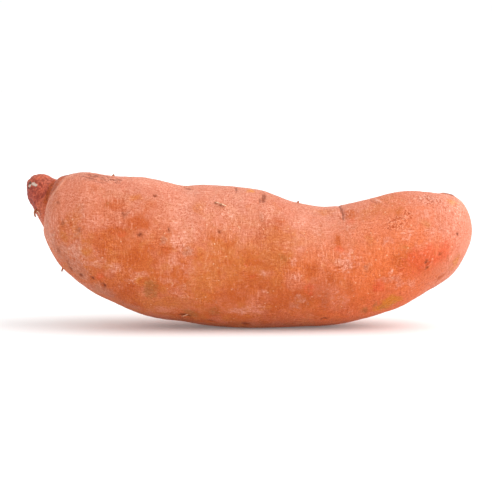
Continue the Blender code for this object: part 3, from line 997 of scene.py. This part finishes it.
class SkinFinish(Finish):
    """The root's finish, built coat by coat from the blot layers and from noises that the coats share."""

    def __init__(self, tones):
        super().__init__("root_skin")
        self.tones = tones
        self.mottle = self.noise(3.2, 4.0, roughness=0.6, shift=7.0)
        self.fine = self.noise(1.1, 3.0, roughness=0.6, shift=3.0)
        self.grain = self.noise(0.5, 2.0, roughness=0.6, shift=31.0)
        self.rings = self.noise(0.6, 3.0, (1.0, 6.0, 6.0), wobble=0.6)
        self.lines = self.noise(0.6, 3.0, (6.0, 1.0, 1.0), shift=11.0, wobble=0.6)
        self.across = self.step(0.4, 0.6, self.noise(15.0, 3.0, shift=50.0))
        self.along = self.step(0.42, 0.6, self.noise(11.0, 3.0, shift=60.0))
        self.crinkle = self.noise(1.2, 2.0, (3.0, 1.0, 1.0), shift=70.0, wobble=0.8)
        self.gravel = self.noise(1.0, 1.0, shift=75.0, wobble=0.8)
        self.x = self.node("SeparateXYZ", {}, {0: self.place})
        self.z = self.node("SeparateXYZ", {}, {0: self.place}, output=2)
        self.up = self.layer("up")
        # Dust and painted sheen: paler pink on skin that faces up, where the overhead light falls, less so
        # towards the blunt end.
        self.dust_and_sheen = self.step(-0.1, 0.95, self.up) * (1.0 - self.step(30.0, 60.0, self.x) * 0.45)
        self.rose = self.ragged("rose")
        self.bloom_and_sheen = self.ragged("bloom_and_sheen")
        self.pebbled = self.step(0.15, 0.5, self.layer("pebble"))
        self.chink = self.step(0.46, 0.38, self.gravel) * self.pebbled
        crack = self.step(0.08, 0.03, (self.crinkle - 0.5).size()) * self.step(0.38, 0.5, self.mottle)
        self.crack = crack * self.step(0.12, 0.7, self.layer("crackle"))

    def frayed(self, value, mottle=0.0, fine=0.0):
        """The value with shares of the mottle and of the fine noise added, both centred on 0."""
        if mottle:
            value = value + (self.mottle - 0.5) * mottle
        if fine:
            value = value + (self.fine - 0.5) * fine
        return value

    def ragged(self, title):
        """A blot layer with its edge broken up."""
        value = self.layer(title)
        return self.step(0.15, 0.8, self.frayed(value, 1.2, 0.72)) * self.step(0.0, 0.3, value)

    def patched(self):
        """The skin's own orange with its clouds and its blots of colour, brighter orange towards the blunt
        end as painted light, and dust and painted sheen on the top and at the blunt end.
        """
        tones = self.tones
        stained = self.step(0.48, 0.4, self.mottle * 0.5 + self.fine * 0.5) * 0.6
        return self.coats(
            tones.orange,
            (self.step(0.42, 0.62, self.noise(9.0, 3.0)) * 0.45, tones.rose),
            (self.step(0.48, 0.64, self.noise(6.0, 3.0, shift=90.0)) * 0.5, tones.straw),
            # Painted light: brighter orange towards the blunt end, the side that the light comes from.
            (self.step(5.0, 60.0, self.frayed(self.x, 60.0)) * 0.8, tones.lit_orange),
            # Dust and painted sheen at the blunt end, then on skin that faces up.
            (self.step(66.0, 92.0, self.frayed(self.x, 20.0)) * 0.6, tones.dust_and_sheen),
            (self.dust_and_sheen * 0.6, tones.dust_and_sheen),
            (self.rose * 0.7, tones.rose),
            (self.ragged("tan") * 0.8, tones.tan),
            (self.ragged("rust") * 0.85, tones.rust),
            (self.ragged("flush") * (0.8 - self.dust_and_sheen * 0.6), tones.flush),
            (self.ragged("ash") * 0.6, tones.ash),
            (self.ragged("olive") * 0.6, tones.olive),
            (self.ragged("amber") * 0.95, self.blend(stained, tones.amber, tones.olive)),
            (self.bloom_and_sheen * 0.3, tones.bloom_and_sheen),
            (self.layer("light") * 0.75, tones.bloom_and_sheen),
        )

    def scuffed(self, tint):
        """The tint with pale hairs round and along the root, scuffs, specks, and painted shade low down near
        the ground.
        """
        tones = self.tones
        pale = self.bloom_and_sheen.greater(self.rose * 0.6).greater(self.dust_and_sheen * 0.5)
        hairs = self.step(0.54, 0.7, self.lines) * self.along
        hairs = hairs.greater(self.step(0.54, 0.7, self.rings) * self.across)
        # Painted shade: patchy darkening within 7 mm of the ground.
        low = self.step(7.0, 1.0, self.z) * self.step(0.35, 0.6, self.frayed(self.mottle, fine=0.4))
        return self.coats(
            tint,
            (hairs * (0.15 + pale * 0.5), tones.bloom_and_sheen),
            (self.step(0.54, 0.7, self.fine) * (0.15 + pale * 0.35), tones.bloom_and_sheen),
            (self.step(0.46, 0.32, self.fine) * 0.35, tones.rust),
            (self.specks(3.6, 0.13).greater(self.specks(2.2, 0.13) * pale) * 0.4, tones.cream),
            (low * 0.3, tones.ground_shade),
        )

    def neck_reach(self):
        """The share of the neck's own colours, with the worn saddle beside it."""
        saddle = self.layer("saddle")
        beside = self.frayed(saddle - self.layer("light") * 0.45, 0.8, 0.6)
        beside = self.step(0.1, 0.65, beside) * self.step(0.0, 0.3, saddle)
        neck = self.layer("neck")
        onto = self.step(0.3, 0.7, self.frayed(neck, 0.8, 0.4)) * self.step(0.0, 0.2, neck)
        return onto.greater(beside * 0.9)

    def neck_flesh(self):
        """Pink and crimson, rosier on top as a painted highlight, maroon below and under the tip as painted
        shade, salmon at the foot, and threads in the fold and the saddle, heavier in the fold as painted
        shade.
        """
        tones = self.tones
        fold = self.layer("fold")
        # Painted shade in the fold between neck and shoulder, joined with the worn saddle.
        worn = fold.greater(self.step(0.25, 0.6, self.layer("saddle")))
        # Painted shade: where the neck faces down.
        under = self.step(0.35, -0.35, self.up)
        foot = self.step(10.5, 14.5, self.frayed(self.layer("down"), 4.0))
        patch = self.noise(1.5, 3.0, roughness=0.6, shift=90.0, wobble=0.5)
        # Painted shade on the low side of the neck's tip.
        edge = self.step(-91.5, -94.5, self.frayed(self.x, fine=3.0)) * self.step(61.0, 57.0, self.z)
        flecks = self.step(0.53, 0.4, self.fine * 0.5 + patch * 0.5)
        # Dark threads in the saddle, heavier in the fold as painted shade.
        threads = {0: self.layer("lead") * 1.5, 1: self.layer("turned") * 13.0, 2: 0.0}
        threads = self.node("CombineXYZ", {}, threads)
        threads = self.node("TexNoise", {}, {"Vector": threads, "Scale": 1.0, "Detail": 2.0})
        threads = self.step(0.52, 0.46, threads) * worn * (0.6 + fold * 0.4)
        return self.coats(
            tones.crimson,
            (self.step(0.43, 0.63, patch), tones.neck_pink),
            # Painted highlight: rosier where the neck faces up.
            (self.step(0.45, 0.95, self.up) * 0.4, tones.rose),
            # Painted shade: maroon under the neck and its tip.
            (under * self.step(0.6, 0.45, patch) * 0.8, tones.neck_underside_shade),
            (edge * 0.7, tones.neck_underside_shade),
            (foot * 0.85, tones.salmon),
            (self.step(0.2, 0.7, self.frayed(worn, 0.8)) * 0.9, tones.saddle),
            # Dark flecks, more of them underneath as painted shade.
            (flecks * (0.45 + under * 0.3) * (1.0 - foot * 0.7), tones.wine),
            (threads * 0.85, tones.bark),
        )

    def swing(self):
        """How much paler than its tint each place is. Below 0 it is darker.

        Grain, hairs, and crackled and pebbled patches swing both ways. Broad places are dimmer or brighter,
        and the shoulder end is darker as painted shade, most where it faces up.
        """
        rough = self.step(0.38, 0.6, self.noise(12.0, 2.0, shift=120.0))
        grain = self.grain - 0.5
        hairs = (self.lines - 0.5) * self.along + (self.rings - 0.5) * self.across * 0.9
        # Painted shade: the shoulder end darker, more where it faces up.
        shoulder = self.step(-15.0, -40.0, self.x) * (0.06 + self.dust_and_sheen * 0.1)
        middle = self.step(1.0, 7.0, self.x) * self.step(22.0, 14.0, self.x) * 0.12
        broad = self.layer("glow") * 0.13 - self.layer("dim") * 0.16 - shoulder - middle
        crackle = self.layer("crackle") * (0.2 + (self.crinkle - 0.5) * 0.8)
        pebble = self.pebbled * (self.gravel - 0.5 + grain) * 1.2
        return grain * (1.0 + rough * 0.9) + (self.fine - 0.5) * 0.4 + hairs + broad + crackle + pebble

    def marked(self, tint):
        """The tint with its cracks, pebbles, pits, creases, and the chip and spots of the neck's tip."""
        tones = self.tones
        pit = self.layer("pit")
        seen = self.step(0.02, 0.15, pit)
        pit = self.frayed(pit, 0.6, 1.1)
        dark = self.layer("dark")
        crease = self.step(0.2, 0.8, self.frayed(dark, fine=0.8) + (self.grain - 0.5) * 0.5)
        chip = self.step(0.35, 0.6, self.frayed(self.layer("chip"), fine=0.5))
        stain = self.step(0.3, 0.6, self.frayed(self.layer("stain"), fine=0.5))
        return self.coats(
            tint,
            (self.crack * 0.78, tones.bark),
            (self.pebbled * self.step(0.54, 0.62, self.gravel) * 0.35, tones.bloom_and_sheen),
            (self.chink * 0.55, tones.ember),
            (self.step(0.15, 0.5, pit) * seen * 0.55, tones.pit_rim),
            (self.step(0.5, 0.7, pit) * seen * 0.85, tones.bark),
            (crease * self.step(0.05, 0.3, dark) * 0.75, tones.bark),
            (chip * 0.9, self.blend(self.step(0.42, 0.6, self.fine), tones.chalk, tones.wax)),
            (stain * 0.9, tones.tar),
        )

    def fine_relief(self):
        """Height of what is too fine for the mesh: crinkles, cracks, chinks, scuffs and grain."""
        height = self.crinkle * self.layer("crackle") * 1.5 - self.crack - self.chink * 0.5
        height = height + self.fine * 0.8 + self.mottle * 0.5
        return height + (self.rings + self.lines + self.grain) * 0.4


def skin_material(tones):
    """Blots of colour broken up by noise, thin scuffs both ways, a redder neck, cracks, specks and pits."""
    f = SkinFinish(tones)
    tint = f.blend(f.neck_reach(), f.scuffed(f.patched()), f.neck_flesh())
    return f.finish({
        "Base Color": f.marked(f.faded(tint, f.swing())),
        "Roughness": tones.roughness + f.mottle * 0.12 + f.bloom_and_sheen * 0.12,
        "Specular IOR Level": tones.gloss,
        "Normal": f.bump(f.fine_relief(), tones.texture, 0.4),
    })


def rootlet_material(tones):
    """Dry brown fibre, paler towards its broken tip, with streaks along it."""
    f = Finish("dry_fibre")
    mottle = f.noise(0.8, 3.0)
    tint = f.blend(f.step(0.25, 0.8, f.layer("paleness") + (mottle - 0.5) * 0.4), tones.husk, tones.cream)
    tint = f.blend(f.step(0.5, 0.35, mottle) * 0.6, tint, tones.bark)
    relief = f.bump(mottle, 0.5, 0.15)
    return f.finish({"Base Color": tint, "Roughness": 0.7 + mottle * 0.1, "Normal": relief})


def tone(name, description, default):
    """A colour that the user may change, in linear parts."""
    return bpy.props.FloatVectorProperty(
        name=name, description=description, default=default, subtype="COLOR", min=0.0, max=1.0
    )


def amount(name, description, default, **kind):
    """A number that the user may change."""
    return bpy.props.FloatProperty(name=name, description=description, default=default, min=0.0, **kind)


class SkinSettings(bpy.types.PropertyGroup):
    swell: amount("Swells", "Height of the skin's swells, as a share of the usual", 1.0)
    pit_depth: amount("Pits", "Depth of the pits, as a share of the usual", 1.0)
    crease_depth: amount("Creases", "Depth of the creases, as a share of the usual", 1.0)
    lip_width: amount("Lip width", "Half width of the shoulder's lip", 0.6 * MM, unit="LENGTH", precision=5)
    lip_height: amount("Lip height", "Height of the shoulder's lip", 0.25 * MM, unit="LENGTH", precision=5)
    texture: amount("Fine relief", "Strength of the relief too fine to model", 0.7)
    roughness: amount("Roughness", "Roughness of bare skin", 0.5)
    gloss: amount("Gloss", "Strength of the skin's reflections", 0.25)
    orange: tone("Orange", "The skin's own colour", (0.51, 0.108, 0.018))
    straw: tone("Straw", "Yellower clouds in the skin", (0.52, 0.150, 0.028))
    # Painted light: the brighter orange towards the blunt end.
    lit_orange: tone("Bright orange", "The skin towards the blunt end", (0.66, 0.132, 0.032))
    # Pink patches, and a painted highlight on the neck's top and on the rims at the ends.
    rose: tone("Rose", "Pinker patches", (0.57, 0.176, 0.102))
    # Dust and painted sheen: the pale pink on the top and at the blunt end.
    dust_and_sheen: tone("Dust", "Dry pink dust on the top and the blunt end", (0.57, 0.232, 0.165))
    # Pale scuffs, and a painted highlight on the rims at the ends.
    bloom_and_sheen: tone("Bloom", "Pale scuffs and dry patches", (0.70, 0.305, 0.215))
    rust: tone("Rust", "Rusty patches", (0.45, 0.078, 0.005))
    tan: tone("Tan", "Tan patches", (0.50, 0.132, 0.023))
    flush: tone("Flush", "Red patches", (0.63, 0.086, 0.020))
    ash: tone("Ash", "Greyish patches", (0.44, 0.17, 0.105))
    olive: tone("Olive", "Dull green-brown patches", (0.28, 0.105, 0.018))
    amber: tone("Amber", "Yellow-brown patches", (0.56, 0.172, 0.004))
    # Painted shade near the ground.
    ground_shade: tone("Soil", "Traces of soil underneath", (0.22, 0.090, 0.040))
    cream: tone("Cream", "Fine pale specks", (0.80, 0.50, 0.32))
    bark: tone("Bark", "Cracks, creases and the middles of pits", (0.20, 0.030, 0.004))
    pit_rim: tone("Pit rim", "Skin round the pits", (0.27, 0.052, 0.012))
    ember: tone("Ember", "Red chinks between pebbles of skin", (0.42, 0.062, 0.010))
    neck_pink: tone("Neck pink", "Light part of the stem neck", (0.53, 0.106, 0.056))
    crimson: tone("Crimson", "Dark part of the stem neck", (0.36, 0.056, 0.028))
    neck_underside_shade: tone("Maroon", "Underside of the stem neck", (0.30, 0.045, 0.036))
    # Painted shade under the stem neck.
    wine: tone("Wine", "Dark flecks of the stem neck", (0.17, 0.022, 0.012))
    salmon: tone("Salmon", "Foot of the stem neck", (0.56, 0.135, 0.062))
    saddle: tone("Saddle", "Worn skin between neck and shoulder", (0.46, 0.080, 0.010))
    chalk: tone("Chalk", "Grey part of the chip on the neck's tip", (0.40, 0.34, 0.26))
    wax: tone("Wax", "Pale part of the chip on the neck's tip", (0.62, 0.50, 0.42))
    tar: tone("Tar", "Dark spots on the neck's tip", (0.045, 0.030, 0.012))


class RootletSettings(bpy.types.PropertyGroup):
    stubs: bpy.props.IntProperty(
        name="Stubs", description="Number of broken rootlets on the far side", default=16, min=0
    )
    thickness: amount("Thickness", "Thickness of every rootlet, as a share of the usual", 1.0)
    husk: tone("Husk", "Rootlets at their foot", (0.42, 0.14, 0.055))
    cream: tone("Cream", "Pale torn fibres", (0.80, 0.50, 0.32))
    bark: tone("Bark", "Dark streaks of the rootlets", (0.20, 0.030, 0.004))


class StageSettings(bpy.types.PropertyGroup):
    table_size: amount("Table size", "Side of the table", 40.0, unit="LENGTH")
    table_glow: amount("Table glow", "Light that the table gives off", 0.12)
    table_grey: tone("Table", "Colour of the table", (0.8, 0.8, 0.8))
    ambient: amount("Ambient light", "Strength of the even light from all round", 1.02)
    overhead: amount("Overhead light", "Strength of the soft light overhead", 2.4)
    side: amount("Side light", "Strength of the soft light from the blunt end", 0.5)
    elevation: amount("Elevation", "Camera's height over the horizon", math.radians(5.0), subtype="ANGLE")
    focal: amount("Focal length", "Camera's lens, in millimetres", 135.0)
    margin: amount("Width framed", "Width of the picture, over the length of the root", 1.1092)


def table_mesh(settings):
    """A flat square whose middle is the frame's origin."""
    edge = settings.table_size / 2.0
    corners = ((-edge, -edge, 0.0), (edge, -edge, 0.0), (edge, edge, 0.0), (-edge, edge, 0.0))
    mesh = bpy.data.meshes.new("table")
    mesh.from_pydata(corners, [], [(0, 1, 2, 3)])
    return mesh


def table_material(settings):
    """Plain white, quite dull, and glowing a little so that it stays pale far away."""
    return Finish("table_white").finish({
        "Base Color": settings.table_grey,
        "Roughness": 1.0,
        "Specular IOR Level": 0.0,
        "Emission Color": (1.0, 1.0, 1.0),
        "Emission Strength": settings.table_glow,
    })


def set_light(scene, settings):
    """Even white light from all round, and two broad soft lamps at no particular distance."""
    scene.world = bpy.data.worlds.new("studio")
    scene.world.use_nodes = True
    sky = scene.world.node_tree.nodes["Background"].inputs
    sky["Color"].default_value = (1.0, 1.0, 1.0, 1.0)
    sky["Strength"].default_value = settings.ambient
    for name, strength, (spread, *towards) in (
        ("overhead", settings.overhead, OVERHEAD_LAMP),
        ("side", settings.side, SIDE_LAMP),
    ):
        lamp = bpy.data.lights.new(name, "SUN")
        lamp.energy = strength
        lamp.angle = math.radians(spread)
        light = bpy.data.objects.new(name, lamp)
        light.rotation_euler = Vector(towards).to_track_quat("Z", "Y").to_euler()
        scene.collection.objects.link(light)


def set_camera(scene, settings):
    """Camera in front of the near side, a little above it, with the root's length across the picture."""
    lens = bpy.data.cameras.new("camera")
    lens.lens = settings.focal
    lens.clip_start = 0.01
    camera = bpy.data.objects.new("camera", lens)
    scene.collection.objects.link(camera)
    low, high = (Vector(corner) for corner in ROOT_BOX)
    width = settings.margin * (high.x - low.x)
    aim = (low + high) / 2.0
    aim.y = 0.0
    aim += Vector(AIM_SHIFT) * MM
    back = Vector((0.0, -math.cos(settings.elevation), math.sin(settings.elevation)))
    camera.location = aim + back * (width * settings.focal / lens.sensor_width)
    camera.rotation_euler = (-back).to_track_quat("-Z", "Y").to_euler()
    scene.camera = camera
    scene.view_settings.view_transform = "Standard"


class POTATO_OT_grow_root(bpy.types.Operator):
    """Grow the root's skin as one closed surface"""

    bl_idname = "potato.grow_root"
    bl_label = "Grow the root"

    def execute(self, context):
        settings = context.scene.potato_skin
        skin = place(skin_mesh(settings), skin_material(settings))
        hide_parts(NODE)
        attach(skin, BODY)
        return {"FINISHED"}


class POTATO_OT_add_rootlets(bpy.types.Operator):
    """Set fibres and broken rootlets into the skin"""

    bl_idname = "potato.add_rootlets"
    bl_label = "Add the rootlets"

    def execute(self, context):
        settings = context.scene.potato_rootlets
        rootlets = place(rootlet_mesh(settings), rootlet_material(settings))
        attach(rootlets, BODY)
        return {"FINISHED"}


class POTATO_OT_set_stage(bpy.types.Operator):
    """Lay the table, hang the lights and set the camera"""

    bl_idname = "potato.set_stage"
    bl_label = "Set the stage"

    def execute(self, context):
        settings = context.scene.potato_stage
        place(table_mesh(settings), table_material(settings))
        set_light(context.scene, settings)
        set_camera(context.scene, settings)
        return {"FINISHED"}


class POTATO_PT_steps(bpy.types.Panel):
    """Sizes and colours of the sweet potato, and the operators that build it"""

    bl_idname = "POTATO_PT_steps"
    bl_label = "Sweet potato"
    bl_space_type = "VIEW_3D"
    bl_region_type = "UI"
    bl_category = "Sweet potato"

    def draw(self, context):
        for group, operator in (
            ("potato_skin", "potato.grow_root"),
            ("potato_rootlets", "potato.add_rootlets"),
            ("potato_stage", "potato.set_stage"),
        ):
            box = self.layout.box()
            settings = getattr(context.scene, group)
            for title in settings.__annotations__:
                box.prop(settings, title)
            box.operator(operator)


CLASSES = (
    SkinSettings,
    RootletSettings,
    StageSettings,
    POTATO_OT_grow_root,
    POTATO_OT_add_rootlets,
    POTATO_OT_set_stage,
    POTATO_PT_steps,
)


def register():
    for item in CLASSES:
        bpy.utils.register_class(item)
    bpy.types.Scene.potato_skin = bpy.props.PointerProperty(type=SkinSettings)
    bpy.types.Scene.potato_rootlets = bpy.props.PointerProperty(type=RootletSettings)
    bpy.types.Scene.potato_stage = bpy.props.PointerProperty(type=StageSettings)


def unregister():
    del bpy.types.Scene.potato_stage
    del bpy.types.Scene.potato_rootlets
    del bpy.types.Scene.potato_skin
    for item in reversed(CLASSES):
        bpy.utils.unregister_class(item)


def main():
    register()
    bpy.ops.potato.grow_root()
    bpy.ops.potato.add_rootlets()
    bpy.ops.potato.set_stage()


if __name__ == "__main__":
    main()
